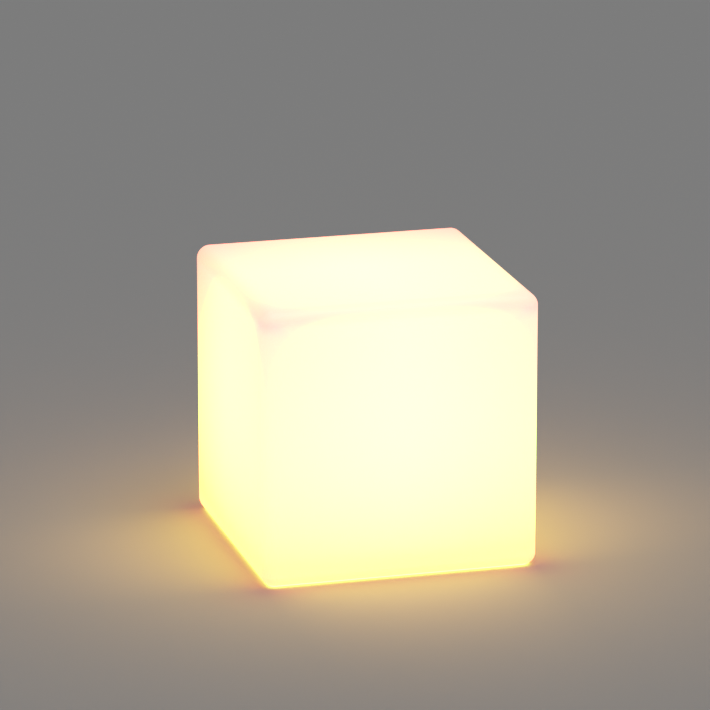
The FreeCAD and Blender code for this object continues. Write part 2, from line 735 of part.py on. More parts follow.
# ================================================================ the heat spreader, the diodes and the dome
rim_ring = ring(tub_radius, tub_inner_radius, rim_z, plate_bottom)
rim_outline = fused(rim_ring, *[disc(boss_radius, rim_z, plate_bottom, x, y) for x, y in boss_places])
node("spreader_gasket", drilled(
    rim_outline.common(disc(tub_radius, rim_z, plate_bottom)),
    clearance_holes(dome_screw, boss_places, rim_z, plate_bottom),
))
grommet_hole = disc(grommet_radius, plate_bottom, plate_top, grommet_pitch)
node("heat_spreader", drilled(
    disc(tub_radius, plate_bottom, plate_top),
    [grommet_hole]
    + clearance_holes(dome_screw, boss_places, plate_bottom, plate_top)
    + pilots(led_screw, led_screw_places, plate_bottom, plate_top),
))
node("thermal_pad", drilled(
    disc(led_board_radius, plate_top, led_board_bottom),
    clearance_holes(led_screw, led_screw_places, plate_top, led_board_bottom),
))
node("led_board", drilled(
    disc(led_board_radius, led_board_bottom, led_board_top),
    clearance_holes(led_screw, led_screw_places, led_board_bottom, led_board_top),
))
node("led_screws", *screws_down(led_screw, led_screw_places, led_board_top))
led_lens = disc(led_lens_radius, led_height - led_lens_depth, led_height)
led = block(led_size, led_size, 0.0, led_height).cut(led_lens)
node("led_chips", *[
    moved(turned(led, math.degrees(math.atan2(y, x))), x, y, led_board_top) for x, y in led_places
])

leads_y = (-lead_spacing / 2, lead_spacing / 2)
node("grommet", drilled(
    fused(
        disc(grommet_radius, plate_bottom, plate_top, grommet_pitch),
        disc(grommet_radius + grommet_lip, plate_top, plate_top + grommet_lip, grommet_pitch),
        disc(grommet_radius + grommet_lip, plate_bottom - grommet_lip, plate_bottom, grommet_pitch),
    ),
    [disc(lead_radius + pilot_gap, 0.0, side, grommet_pitch, y) for y in leads_y],
))
arch_z = led_board_top + solder_height + lead_arch
lead_z = (board_top + connector_top) / 2
pad_x = led_board_radius - led_pad_inset
node("led_leads", *[
    lead(
        (connector_x, y, lead_z), (grommet_pitch, y, lead_z), (grommet_pitch, y, arch_z),
        (pad_x, y, arch_z), (pad_x, y, led_board_top),
    )
    for y in leads_y
])
tag_z = (socket_back + socket_tag_top) / 2
lead_offset = lead_radius + socket_tag_thickness / 2
node("socket_leads", *[
    lead((x, 0.0, tag_z), (x, -socket_lead_run, tag_z), (x, -socket_lead_run, board_bottom))
    for x in (tags_x[0] - lead_offset, tags_x[1] + lead_offset)
])

dome_top_profile = cap_arc(dome_radius, dome_flange_top + dome_straight, dome_rise)
dome_inside_profile = cap_arc(dome_inner_radius, dome_flange_top + dome_straight, dome_rise - dome_wall)
dome_foot = [(0.0, dome_bottom), (tub_radius, dome_bottom), (tub_radius, dome_flange_top)]
dome = revolved(dome_foot + [(dome_radius, dome_flange_top)] + dome_top_profile)
dome_hollow = revolved([(0.0, dome_bottom), (dome_inner_radius, dome_bottom)] + dome_inside_profile)
dome_holes = clearance_holes(dome_screw, boss_places, dome_bottom, dome_flange_top)
node("dome", drilled(dome, [dome_hollow] + dome_holes))
node("dome_gasket", drilled(
    ring(tub_radius, dome_inner_radius, plate_top, dome_bottom),
    clearance_holes(dome_screw, boss_places, plate_top, dome_bottom),
))
node("dome_screws", *screws_down(dome_screw, boss_places, dome_flange_top))

os.makedirs("parts", exist_ok=True)
for name, shape in NODES.items():
    shape.exportStep("parts/" + name + ".step")
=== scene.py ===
import json
import math
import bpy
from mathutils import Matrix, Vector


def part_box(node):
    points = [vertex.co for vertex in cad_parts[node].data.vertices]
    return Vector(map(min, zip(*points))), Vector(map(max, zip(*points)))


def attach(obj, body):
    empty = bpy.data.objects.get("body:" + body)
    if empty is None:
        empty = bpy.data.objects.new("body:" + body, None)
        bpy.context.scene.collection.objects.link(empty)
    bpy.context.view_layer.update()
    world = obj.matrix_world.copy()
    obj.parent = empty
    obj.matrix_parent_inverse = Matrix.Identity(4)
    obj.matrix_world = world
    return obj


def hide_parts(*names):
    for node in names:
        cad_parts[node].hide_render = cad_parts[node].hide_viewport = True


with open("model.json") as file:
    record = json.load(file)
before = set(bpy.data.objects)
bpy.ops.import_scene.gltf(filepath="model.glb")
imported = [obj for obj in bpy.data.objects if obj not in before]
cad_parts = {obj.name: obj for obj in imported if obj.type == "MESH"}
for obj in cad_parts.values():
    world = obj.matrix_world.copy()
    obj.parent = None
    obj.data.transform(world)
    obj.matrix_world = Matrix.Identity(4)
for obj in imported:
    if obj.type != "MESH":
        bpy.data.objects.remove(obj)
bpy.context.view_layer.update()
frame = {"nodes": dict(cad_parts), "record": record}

from types import SimpleNamespace

import bmesh
import bpy
from mathutils import Vector

# -------- the cube, in metres
MM = 0.001
shell_low, shell_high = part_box("cube_shell")
SIDE = shell_high.x - shell_low.x
HALF = SIDE / 2
MIDDLE = Vector((0.0, 0.0, HALF))
EDGE_RADIUS = 19 * MM
WALL = 4 * MM
INNER_EDGE_RADIUS = 24 * MM
LAND_WIDTH = 24 * MM            # flat border that the cube stands on, inside the edge's rounding
PANEL_DEPTH = 1.5 * MM          # how far the rest of the underside is set in
PANEL_CORNER_RADIUS = 30 * MM
RECESS_RADIUS = 81.5 * MM       # at its ceiling
RECESS_DEPTH = 14 * MM
RECESS_DRAFT = 6.0              # degrees
RECESS_ROUNDING = 4 * MM
MOUTH_ROUNDING = 2.5 * MM
OPENING_RADIUS = 57.5 * MM      # for the light unit's tub
BOSS_RADIUS = 8 * MM            # round each threaded insert
BOSS_TOP = 26 * MM
BOSS_DRAFT = 4.0                # degrees
BOSS_ROUNDING = 2.5 * MM
INSERT_COUNT = 6
INSERT_PITCH = 65.5 * MM        # from the middle to each insert
INSERT_TURN = 30.0              # degrees, of the first
INSERT_RADIUS = 3.5 * MM
INSERT_LENGTH = 9 * MM
INSERT_HEAD_RADIUS = 4.4 * MM
INSERT_HEAD = 0.8 * MM

# -------- the light unit, in metres
COVER_BOTTOM = 9.5 * MM
DOME_FLANGE_TOP = 42.9 * MM
DOME_SCREW_PITCH = 49.5 * MM
BOARD_TOP = 28.4 * MM
BOARD_SCREW_X = 38.9 * MM
BOARD_SCREW_Y = 11.5 * MM
LED_BOARD_TOP = 41.5 * MM
LED_SCREW_PITCH = 18.85 * MM
LED_RINGS = ((12, 25.6 * MM), (6, 12.1 * MM))       # how many diodes, and the ring's radius
LED_SIZE = 5 * MM
LED_HEIGHT = 1.6 * MM
LED_WELL_RADIUS = 2 * MM
CHIP_PLACES = ((-8 * MM, -9 * MM), (-8 * MM, 9 * MM), (9 * MM, 9 * MM))
INDUCTOR_PLACE = (1 * MM, 0.0)
CAPACITOR_PLACE = (9 * MM, -9 * MM)
CONNECTOR_PLACE = (24 * MM, 0.0)
CELL_Y = 27 * MM
CELL_Z = 23.7 * MM
CELL_END = 31.9 * MM            # beyond it the cells are bare
# shank radius, length, head radius, head height and pitch of the thread
COVER_SCREW = (2.0 * MM, 12 * MM, 4.0 * MM, 2.4 * MM, 0.7 * MM)
DOME_SCREW = (1.5 * MM, 12 * MM, 2.8 * MM, 2.0 * MM, 1.0 * MM)
BOARD_SCREW = (1.1 * MM, 8 * MM, 2.1 * MM, 1.4 * MM, 0.8 * MM)
LED_SCREW = (1.5 * MM, 4 * MM, 2.8 * MM, 1.5 * MM, 0.5 * MM)
AXIS_GAP = 0.01 * MM            # radius of the path that a turned form's profile follows

# -------- the photograph's view
FRAME_PIXELS = 710
FOCAL_PIXELS = 4886
SENSOR = 36.0                   # millimetres, wide
CAMERA_AZIMUTH = -15.42         # degrees
CAMERA_ELEVATION = 16.18
CAMERA_DISTANCE = 17.47 * SIDE
CAMERA_ASIDE = -0.0336 * SIDE
CAMERA_ABOVE = 0.1719 * SIDE

# -------- studio
STUDIO_GREY = 0.202             # the background
FLOOR_ALBEDO = 0.40
FLOOR_SIZE = 14.0
FLOOR_FADE_START = 4.2          # from the lamp, to where the floor starts to pass into the background
FLOOR_FADE_END = 6.2
SUN_STRENGTH = 0.97
SUN_SOFTNESS = 50.0             # degrees across
SUN_TILT = 12.0                 # degrees from straight above, towards the front right
SUN_TURN = 12.0


# -------- node trees as expressions
class Value:
    """A number, vector or mesh that a node gives. Its operators add Math nodes."""

    def __init__(self, tree, socket):
        self.tree = tree
        self.socket = socket

    def math(self, operation, *operands):
        return self.tree.node("ShaderNodeMath", {"operation": operation}, *operands)

    def __add__(self, other):
        return self.math("ADD", self, other)

    def __radd__(self, other):
        return self.math("ADD", other, self)

    def __sub__(self, other):
        return self.math("SUBTRACT", self, other)

    def __rsub__(self, other):
        return self.math("SUBTRACT", other, self)

    def __mul__(self, other):
        return self.math("MULTIPLY", self, other)

    def __rmul__(self, other):
        return self.math("MULTIPLY", other, self)

    def __truediv__(self, other):
        return self.math("DIVIDE", self, other)

    def __rtruediv__(self, other):
        return self.math("DIVIDE", other, self)

    def __pow__(self, other):
        return self.math("POWER", self, other)

    def __neg__(self):
        return self.math("MULTIPLY", self, -1.0)

    def __abs__(self):
        return self.math("ABSOLUTE", self)

    def larger(self, other):
        return self.math("MAXIMUM", self, other)

    def smaller(self, other):
        return self.math("MINIMUM", self, other)

    def above(self, other):
        return self.math("GREATER_THAN", self, other)

    def equals(self, number):
        return self.math("COMPARE", self, number, 0.5)

    def sign(self):
        return self.math("SIGN", self)

    def cosine(self):
        return self.math("COSINE", self)

    def tangent(self):
        return self.math("TANGENT", self)

    def turn_from(self, x):
        """The angle, in radians, of the point whose Y this value is."""
        return self.math("ARCTAN2", self, x)

    def zigzag(self):
        """Goes from 0 to 0.5 and back each time that the value rises by 1."""
        return self.math("PINGPONG", self, 0.5)

    def smooth(self, start, end):
        """0 before start and 1 after end, with a soft passage between them. Start may be the larger."""
        settings = {"interpolation_type": "SMOOTHSTEP"}
        if start < end:
            return self.tree.node("ShaderNodeMapRange", settings, self, start, end, 0.0, 1.0)
        return self.tree.node("ShaderNodeMapRange", settings, self, end, start, 1.0, 0.0)


class Tree:
    """A node tree under construction."""

    def __init__(self, tree):
        self.tree = tree
        tree.nodes.clear()

    def node(self, kind, settings, *values, output=0, **named):
        """Adds one node: its settings first, then its sockets in order or by name. Returns one output."""
        made = self.tree.nodes.new(kind)
        for setting, value in settings.items():
            setattr(made, setting, value)
        sockets = [socket for socket in made.inputs if socket.enabled]
        for socket, value in zip(sockets, values):
            self.put(socket, value)
        for words, value in named.items():
            self.put(made.inputs[words.replace("_", " ")], value)
        enabled = [socket for socket in made.outputs if socket.enabled]
        return Value(self, enabled[output] if isinstance(output, int) else made.outputs[output])

    def put(self, socket, value):
        """Sets or links one socket. A list goes to a socket that takes several links."""
        if isinstance(value, list):
            for one in value:
                self.put(socket, one)
        elif isinstance(value, Value):
            self.tree.links.new(value.socket, socket)
        elif value is not None:
            colour = isinstance(value, tuple) and len(value) < len(socket.default_value)
            socket.default_value = (*value, 1.0) if colour else value

    def split(self, vector):
        """A vector's three numbers."""
        made = self.tree.nodes.new("ShaderNodeSeparateXYZ")
        self.put(made.inputs[0], vector)
        return [Value(self, socket) for socket in made.outputs]

    def vector(self, x, y, z):
        return self.node("ShaderNodeCombineXYZ", {}, x, y, z)


class Finish(Tree):
    """A material under construction: a Principled shader and the nodes that feed it."""

    def __init__(self, name, **uniform):
        self.material = bpy.data.materials.new(name)
        self.material.use_nodes = True
        super().__init__(self.material.node_tree)
        self.output = self.tree.nodes.new("ShaderNodeOutputMaterial")
        self.shader = self.tree.nodes.new("ShaderNodeBsdfPrincipled")
        self.tree.links.new(self.shader.outputs[0], self.output.inputs["Surface"])
        for words, value in uniform.items():
            self.feed(words, value)
        self.place = self.node("ShaderNodeTexCoord", {}, output="Object")

    def feed(self, words, value):
        """Sets or links one socket of the Principled shader, named in words joined by underscores."""
        self.put(self.shader.inputs[words.replace("_", " ")], value)

    def axes(self):
        """Object coordinates, one value for each axis."""
        return self.split(self.place)

    def noise(self, size, detail=3.0, roughness=0.5, stretch=None):
        """Noise from 0 to 1 with patches of that size, in metres. Stretch makes them longer on an axis."""
        place = self.place
        if stretch:
            scale = tuple(1.0 / factor for factor in stretch)
            place = self.node("ShaderNodeMapping", {}, place, None, None, scale)
        return self.node(
            "ShaderNodeTexNoise", {}, Vector=place, Scale=1.0 / size, Detail=detail, Roughness=roughness
        )

    def mix(self, factor, first, second):
        """A colour between two colours."""
        made = self.tree.nodes.new("ShaderNodeMix")
        made.data_type = "RGBA"
        self.put(made.inputs[0], factor)
        self.put(made.inputs[6], first)
        self.put(made.inputs[7], second)
        return Value(self, made.outputs[2])

    def bump(self, height, distance, strength=1.0):
        """Raises the surface by height, from 0 to 1, times the distance in metres."""
        bumps = self.node("ShaderNodeBump", {}, Strength=strength, Distance=distance, Height=height)
        self.feed("Normal", bumps)


class Shape(Tree):
    """A Geometry Nodes tree under construction. Its sizes are its named inputs."""

    def __init__(self, name, **sizes):
        super().__init__(bpy.data.node_groups.new(name, "GeometryNodeTree"))
        self.name = name
        self.tree.interface.new_socket("Mesh", in_out="OUTPUT", socket_type="NodeSocketGeometry")
        self.given = {}
        for words, size in sizes.items():
            kind = "NodeSocketInt" if isinstance(size, int) else "NodeSocketFloat"
            label = words.replace("_", " ")
            socket = self.tree.interface.new_socket(label, in_out="INPUT", socket_type=kind)
            self.given[socket.identifier] = size
        source = self.tree.nodes.new("NodeGroupInput")
        inputs = {words: Value(self, socket) for words, socket in zip(sizes, source.outputs)}
        self.sizes = SimpleNamespace(**inputs)

    def moved(self, mesh, x=0.0, y=0.0, z=0.0):
        return self.node("GeometryNodeTransform", {}, mesh, self.vector(x, y, z))

    def turned(self, mesh, x=0.0, y=0.0, z=0.0):
        """Turns a mesh about the axes, in radians."""
        return self.node("GeometryNodeTransform", {}, mesh, None, self.vector(x, y, z))

    def stretched(self, mesh, x, y, z):
        return self.node("GeometryNodeTransform", {}, mesh, None, None, self.vector(x, y, z))

    def together(self, *meshes):
        return self.node("GeometryNodeJoinGeometry", {}, list(meshes))

    def cut(self, mesh, *cutters):
        settings = {"operation": "DIFFERENCE", "solver": "EXACT"}
        return self.node("GeometryNodeMeshBoolean", settings, mesh, list(cutters))

    def swept(self, path, section, capped=False):
        return self.node("GeometryNodeCurveToMesh", {}, path, section, None, capped)

    def circle(self, steps, radius):
        return self.node("GeometryNodeCurvePrimitiveCircle", {"mode": "RADIUS"}, steps, radius)

    def position(self):
        """X, Y and Z of each point."""
        return self.split(self.node("GeometryNodeInputPosition", {}))

    def curve_through(self, *places):
        """A curve through points at those places, each X, Y and Z."""
        line = self.node("GeometryNodeMeshLine", {"mode": "OFFSET"}, len(places))
        index = self.node("GeometryNodeInputIndex", {})
        for number, place in enumerate(places):
            here = index.equals(number)
            line = self.node("GeometryNodeSetPosition", {}, line, here, self.vector(*place))
        return self.node("GeometryNodeMeshToCurve", {}, line)

    def filleted(self, curve, steps, radius):
        return self.node("GeometryNodeFilletCurve", {"mode": "POLY"}, curve, steps, radius, True)

    def revolved(self, *corners, steps=96, arc_steps=8):
        """A closed form turned about Z. Its corners, from top to bottom: radius, height and any rounding."""
        profile = self.curve_through(*((radius, -1.0 * height, 0.0) for radius, height, *bend in corners))
        index = self.node("GeometryNodeInputIndex", {})
        rounding = 0.0
        for number, (radius, height, *bend) in enumerate(corners):
            if bend:
                rounding = index.equals(number) * bend[0] + rounding
        if isinstance(rounding, Value):
            profile = self.filleted(profile, arc_steps, rounding)
        skin = self.swept(self.circle(steps, AXIS_GAP), profile)
        return self.node("GeometryNodeMergeByDistance", {"mode": "ALL"}, skin, None, 3 * AXIS_GAP)

    def tapered(self, radius, low, high, draft, rounding, steps=96, arc_steps=8):
        """A round form with drafted sides and a rounded upper edge. The radius is the side's at the top."""
        foot = (high - low) * math.tan(math.radians(draft)) + radius
        corners = ((0.0, high), (radius, high, rounding), (foot, low), (0.0, low))
        return self.revolved(*corners, steps=steps, arc_steps=arc_steps)

    def rounded(self, axes, half, radius, flat, band):
        """Takes a grid's coordinates, from -1 to 1, to a square's or cube's outline with round corners."""
        steps = [abs(axis) * (flat / 2 + band) for axis in axes]
        bends = []
        for step in steps:
            share = (step - flat / 2).larger(0.0) / band * (math.pi / 4)
            bends.append(share.tangent())
        length, reach = 0.0, bends[0]
        for bend in bends:
            length = bend * bend + length
            reach = reach.larger(bend)
        length = length ** 0.5
        places = []
        for axis, step, bend in zip(axes, steps, bends):
            level = (step / (flat / 2)).smaller(1.0) * (half - radius)
            places.append(axis.sign() * (level + bend / length.larger(0.001) * reach * radius))
        return places

    def rounded_cube(self, side, radius, flat, band):
        """A cube centred on the origin, with every edge and corner rounded."""
        count = flat + 2 * band + 1
        block = self.node("GeometryNodeMeshCube", {}, (2.0, 2.0, 2.0), count, count, count)
        places = self.rounded(self.position(), side / 2, radius, flat, band)
        return self.node("GeometryNodeSetPosition", {}, block, None, self.vector(*places))

    def chamfered_plate(self, width, depth, corner_radius, low):
        """A square plate with round corners and sides at 45 degrees. Its width is the one halfway up."""
        flat, band = 2, 6
        count = flat + 2 * band + 1
        block = self.node("GeometryNodeMeshCube", {}, (2.0, 2.0, 2.0), count, count, 2)
        x, y, z = self.position()
        lean = z * depth / 2
        x, y = self.rounded([x, y], width / 2 - lean, corner_radius - lean, flat, band)
        height = (z + 1.0) * depth / 2 + low
        return self.node("GeometryNodeSetPosition", {}, block, None, self.vector(x, y, height))

    def ring_places(self, count, pitch, first_turn):
        """Points evenly spaced on a circle about Z, from a first angle in radians."""
        return self.turned(self.node("GeometryNodeMeshCircle", {}, count, pitch), z=first_turn)

    def at_places(self, mesh, places, rotation=None):
        copies = self.node("GeometryNodeInstanceOnPoints", {}, places, None, mesh, Rotation=rotation)
        return self.node("GeometryNodeRealizeInstances", {}, copies)

    def smooth(self, mesh, sharp_from):
        """Shades a mesh smooth, apart from the edges where it bends by more than that many degrees."""
        mesh = self.node("GeometryNodeSetShadeSmooth", {"domain": "FACE"}, mesh, None, True)
        bend = self.node("GeometryNodeInputMeshEdgeAngle", {})
        sharp = bend.above(math.radians(sharp_from))
        return self.node("GeometryNodeSetShadeSmooth", {"domain": "EDGE"}, mesh, sharp, False)

    def piece(self, geometry, material, body, slot, *nodes):
        """Runs the tree once and keeps its mesh, which stands for the CAD nodes named."""
        real = self.node("GeometryNodeRealizeInstances", {}, geometry)
        dressed = self.node("GeometryNodeSetMaterial", {}, real, None, material)
        self.tree.links.new(dressed.socket, self.tree.nodes.new("NodeGroupOutput").inputs[0])
        made = bpy.data.objects.new(self.name, bpy.data.meshes.new(self.name))
        bpy.context.collection.objects.link(made)
        modifier = made.modifiers.new(self.name, "NODES")
        modifier.node_group = self.tree
        for identifier, size in self.given.items():
            modifier[identifier] = size
        graph = bpy.context.evaluated_depsgraph_get()
        mesh = bpy.data.meshes.new_from_object(made.evaluated_get(graph))
        made.modifiers.remove(modifier)
        made.data = mesh
        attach(made, body)
        if nodes:
            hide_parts(*nodes)
        return made


# -------- the glowing cube's finish
GRAIN_SIZE = 2.2 * MM
GRAIN_DEPTH = 0.2 * MM
GLOW_STRENGTH = 4.0
# red, green and blue, as shares of the strength
FACE_GLOW = (0.92, 0.50, 0.153)         # the middle of a side
FAR_GREEN = 0.302                       # green far from the middles of the sides, and how it goes on falling
FAR_GREEN_FALL = 0.05
EDGE_GLOW = (0.24, 0.155)               # red of the thick edges, and green of those of the top
UPRIGHT_GREEN = 0.184                   # the upper half of the upright edges
CORNER_GREEN = 0.125                    # the upper corners
LOW_GREEN = 0.270                       # the bottom edge
LOW_BLUE = 0.056
BELOW_GLOW = (0.30, 0.20, 0.080)        # the underside and its recess
RIM_GLOW = (0.60, 0.85, 0.160)          # the underside's outer border and the foot of the edge round it
TOP_GREEN_LOSS = 0.032                  # taken off on the top, and along its front edge
FRONT_GREEN_LOSS = 0.022
# gained or lost, as shares of what is there
LOW_RED_LOSS = 0.22
LOW_GREEN_GAIN = 0.38
SIDE_BLUE_LOSS = 0.18
FRONT_BLUE_LOSS = 0.09
BACK_BLUE_LOSS = 0.40
LOW_BLUE_LOSS = 0.73
TOP_BLUE_LOSS = 0.30
TOP_EDGE_BLUE_LOSS = 0.16
# added to the squared distance high up at the back, and taken off it near the floor
BACK_SPREAD = 0.95
LOW_SPREAD = 0.3


def glowing_polyethylene():
    """Translucent polyethylene lit from inside. It is dimmer far from the lamp and where the wall is thick.

    Every place is in half sides from the cube's middle, so each side of the cube is at 1 or at -1.
    """
    finish = Finish("glowing_polyethylene", Base_Color=(0.86, 0.85, 0.82, 1.0), Roughness=0.42)
    x, y, z = finish.axes()
    x, y, z = x / HALF, y / HALF, z / HALF - 1.0
    across = [abs(x), abs(y), abs(z)]
    sideways = across[0].larger(across[1])
    largest = sideways.larger(across[2])
    smallest = across[0].smaller(across[1]).smaller(across[2])
    middle = across[0] + across[1] + across[2] - largest - smallest
    spread = x * x + y * y + z * z + y.larger(0.0) * z.larger(0.0) * BACK_SPREAD
    spread = spread - z.smaller(0.0) ** 2.0 * LOW_SPREAD
    far = spread.smooth(1.75, 2.40)
    edge = middle.smooth(0.84, 0.985)
    top = z.smooth(0.90, 1.0)
    top_edge = edge * z.smooth(0.84, 0.94)
    front_edge = top_edge * y.smooth(-0.3, -0.9)
    upright_edge = edge * z.smooth(-0.1, 0.5)
    corner = smallest.smooth(0.80, 1.0) * z.smooth(-1.0, 0.0)
    low = ((0.5 - z) / 1.5).larger(0.0)
    low_edge = z.smooth(-0.70, -0.92)
    underside = z.smooth(-0.84, -0.90) * sideways.smooth(0.90, 0.88)
    rim = z.smooth(-0.973, -0.992) * sideways.smooth(0.88, 0.90)

    red = FACE_GLOW[0] + (EDGE_GLOW[0] - FACE_GLOW[0]) * edge * z.smooth(-0.6, -0.2)
    red = red * (1.0 - LOW_RED_LOSS * z.smooth(-0.80, -0.96))
    near = (1.0 + LOW_GREEN_GAIN * z.smooth(-0.40, -0.78)) * FACE_GLOW[1]
    green = near + (FAR_GREEN - spread * FAR_GREEN_FALL - top * TOP_GREEN_LOSS - near) * far
    green = green + (EDGE_GLOW[1] - green).smaller(0.0) * top_edge
    green = green - front_edge * FRONT_GREEN_LOSS
    green = green + (UPRIGHT_GREEN - green).smaller(0.0) * upright_edge
    green = green + (CORNER_GREEN - green).smaller(0.0) * corner
    green = green + (LOW_GREEN - green).smaller(0.0) * z.smooth(-0.80, -0.93)
    blue = 1.0 - SIDE_BLUE_LOSS * across[0] ** 1.5
    blue = blue * (1.0 - FRONT_BLUE_LOSS * y.smaller(0.0) ** 2.0 - BACK_BLUE_LOSS * y.larger(0.0) ** 1.6)
    blue = blue * (1.0 - LOW_BLUE_LOSS * low ** 2.85) * (1.0 - TOP_BLUE_LOSS * top)
    blue = blue * (1.0 - TOP_EDGE_BLUE_LOSS * top_edge) * FACE_GLOW[2]
    blue = blue + (LOW_BLUE - blue) * low_edge * low_edge
    glow = [share + (below - share) * underside for share, below in zip((red, green, blue), BELOW_GLOW)]
    glow = [share + (border - share) * rim for share, border in zip(glow, RIM_GLOW)]
    finish.feed("Emission_Color", finish.node("ShaderNodeCombineColor", {}, *glow))
    finish.feed("Emission_Strength", GLOW_STRENGTH)
    finish.bump(finish.noise(GRAIN_SIZE, detail=4.0), GRAIN_DEPTH, 0.4)
    return finish.material


# -------- finishes of the light unit
def moulded(name, colour, roughness=0.45, grain=0.7 * MM, cloud=0.04):
    """Moulded plastic: a spark-eroded grain, faint clouds in the colour and a few handling scuffs."""
    finish = Finish(name)
    clouds = finish.noise(18 * MM, detail=4.0)
    darker = tuple(share * (1.0 - cloud * 2) for share in colour)
    finish.feed("Base_Color", finish.mix(clouds.smooth(0.35, 0.65), colour, darker))
    scuffs = finish.noise(3 * MM, detail=6.0, roughness=0.7, stretch=(6.0, 1.0, 1.0)).smooth(0.62, 0.72)
    finish.feed("Roughness", roughness + (clouds - 0.5) * 0.16 + scuffs * 0.10)
    finish.bump(finish.noise(grain, detail=2.0) - scuffs * 0.3, 0.06 * MM, 0.5)
    return finish.material


def plated(name, colour, roughness, tarnish, brushed=None):
    """Bare or plated metal: patches of tarnish, and fine lines where it was rolled or brushed."""
    finish = Finish(name, Metallic=1.0)
    patches = finish.noise(6 * MM, detail=5.0, roughness=0.6)
    lines = finish.noise(0.35 * MM, detail=3.0, stretch=brushed or (1.0, 1.0, 1.0))
    finish.feed("Base_Color", finish.mix(patches.smooth(0.40, 0.75), colour, tarnish))
    finish.feed("Roughness", roughness + (patches - 0.5) * 0.20 + (lines - 0.5) * 0.18)
    finish.bump(lines, 0.012 * MM, 0.4)
    return finish.material


HALF_PRINT = 0.2 * MM           # half the width of a line printed on a board
TRACK_PITCH = 1.7 * MM


def frame_round(x, y, middle, half):
    """1 on the outline of a rectangle, as printed round a component."""
    away = (abs(x - middle[0]) - half[0]).larger(abs(y - middle[1]) - half[1])
    return (HALF_PRINT - abs(away)).above(0.0)


def ring_round(x, y, middle, radius):
    """1 on a printed circle."""
    across, along = x - middle[0], y - middle[1]
    return (HALF_PRINT - abs((across * across + along * along) ** 0.5 - radius)).above(0.0)


def green_board():
    """Solder mask over copper tracks, tinned rings round the holes and white outlines of the components."""
    finish = Finish("green_board")
    x, y, z = finish.axes()
    lanes = (y / TRACK_PITCH + finish.noise(24 * MM).smooth(0.47, 0.53) * 0.5).zigzag()
    rows = (x / TRACK_PITCH).zigzag()
    region = finish.noise(15 * MM, detail=0.0)
    along_x = (0.11 - lanes).above(0.0) * region.above(0.50)
    along_y = (0.11 - rows).above(0.0) * (0.44 - region).above(0.0)
    pour = finish.noise(21 * MM, detail=0.0).above(0.58)
    copper = (along_x + along_y).larger(pour)
    printed = ring_round(x, y, INDUCTOR_PLACE, 5.1 * MM).larger(ring_round(x, y, CAPACITOR_PLACE, 3.7 * MM))
    for place in CHIP_PLACES:
        printed = printed.larger(frame_round(x, y, place, (3.1 * MM, 2.6 * MM)))
    printed = printed.larger(frame_round(x, y, CONNECTOR_PLACE, (4.4 * MM, 3.4 * MM)))
    from_holes = (abs(x) - BOARD_SCREW_X) ** 2.0 + (abs(y) - BOARD_SCREW_Y) ** 2.0
    tinned = ((2.7 * MM) ** 2 - from_holes).above(0.0)
    face = abs(z - (BOARD_TOP - 0.8 * MM)).above(0.79 * MM)
    mask = finish.mix(copper, (0.010, 0.105, 0.035), (0.022, 0.22, 0.075))
    mask = finish.mix(face, (0.30, 0.30, 0.12), mask)
    mask = finish.mix(printed * face, mask, (0.85, 0.85, 0.80))
    finish.feed("Base_Color", finish.mix(tinned * face, mask, (0.72, 0.72, 0.70)))
    finish.feed("Metallic", tinned * face)
    finish.feed("Roughness", 0.24 + finish.noise(5 * MM) * 0.10 + printed * 0.3)
    finish.bump(copper * 0.6 + printed * 0.4 + finish.noise(0.4 * MM) * 0.1, 0.04 * MM, 0.8)
    return finish.material


def white_board():
    """White solder mask over the ring-shaped tracks that join the diodes."""
    finish = Finish("white_board")
    x, y, _ = finish.axes()
    away = (x * x + y * y) ** 0.5
    tracks = 0.0
    for _, pitch in LED_RINGS:
        tracks = (1.1 * MM - abs(away - pitch)).above(0.0) + tracks
    spokes = (0.03 - (y.turn_from(x) / (math.pi / 3)).zigzag()).above(0.0)
    tracks = (tracks + spokes * away.above(12 * MM) * (26 * MM - away).above(0.0)).smaller(1.0)
    grain = finish.noise(0.5 * MM)
    finish.feed("Base_Color", finish.mix(tracks, (0.86, 0.86, 0.83), (0.93, 0.93, 0.90)))
    finish.feed("Roughness", 0.26 + grain * 0.10)
    finish.bump(tracks * 0.8 + grain * 0.1, 0.035 * MM, 0.8)
    return finish.material


def lit_gel():
    """Yellow phosphor gel, lit from below."""
    finish = Finish("phosphor_gel", Coat_Weight=0.4, Coat_Roughness=0.05)
    speckle = finish.noise(0.12 * MM, detail=3.0)
    finish.feed("Base_Color", finish.mix(speckle, (0.95, 0.66, 0.10), (0.98, 0.80, 0.28)))
    finish.feed("Roughness", 0.18 + speckle * 0.08)
    finish.feed("Emission_Color", finish.mix(speckle, (1.0, 0.62, 0.22), (1.0, 0.74, 0.34)))
    finish.feed("Emission_Strength", 2.5)
    finish.bump(speckle, 0.01 * MM, 0.5)
    return finish.material


